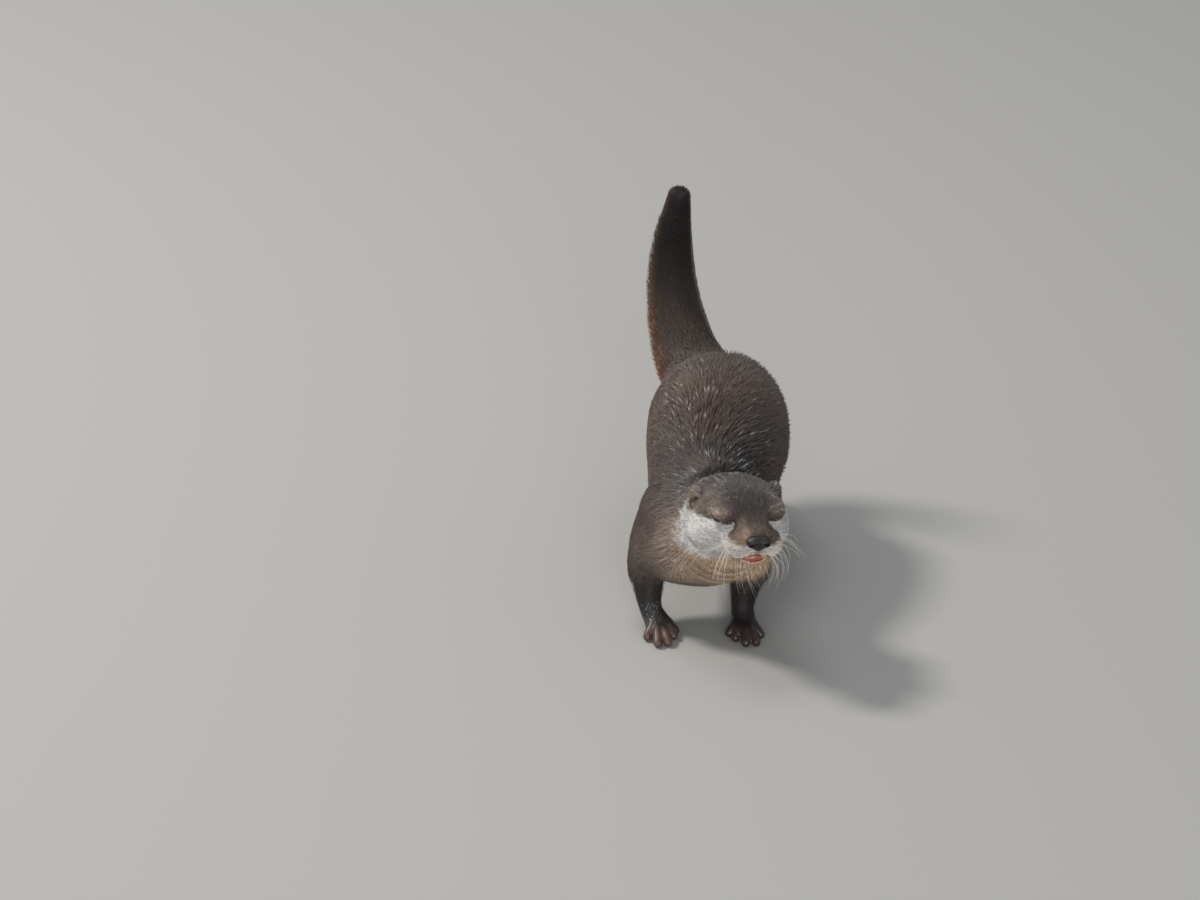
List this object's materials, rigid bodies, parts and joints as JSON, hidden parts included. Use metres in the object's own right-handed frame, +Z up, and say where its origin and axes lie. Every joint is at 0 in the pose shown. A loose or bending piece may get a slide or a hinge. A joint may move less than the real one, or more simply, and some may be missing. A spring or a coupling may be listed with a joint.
{
  "type": "otter model",
  "caption": "Life-size Asian small-clawed otter standing on all fours, head low and turned, tail raised straight up, eyes closed.",
  "frame": {"origin": "middle of the animal's bounding box, on the floor", "axes": "+Z up, -Y the way the otter faces, so the nose end is at -Y and the rump at +Y, and +X its left side"},
  "size_m": [0.1394, 0.397, 0.295],
  "materials": {
    "coat": "dense short brown fur, glossy",
    "throat": "pale grey-brown fur",
    "feet": "near-bare brown skin over short fur",
    "nose": "black, moist",
    "eye": "dark, glossy, mostly lidded",
    "tongue": "moist pink"
  },
  "bodies": {
    "root": {"trunk": "coat", "neck": "coat", "tail_root": "coat", "tail_tip": "coat", "head": "coat", "face": "coat", "lower_jaw": "throat", "nose": "nose", "tongue": "tongue", "eye_left": "eye", "eye_right": "eye", "ear_left": "coat", "ear_right": "coat", "foreleg_left": "coat", "foreleg_right": "coat", "hindleg_left": "coat", "hindleg_right": "coat", "forefoot_left": "feet", "forefoot_right": "feet", "hindfoot_left": "feet", "hindfoot_right": "feet"}
  },
  "joints": []
}
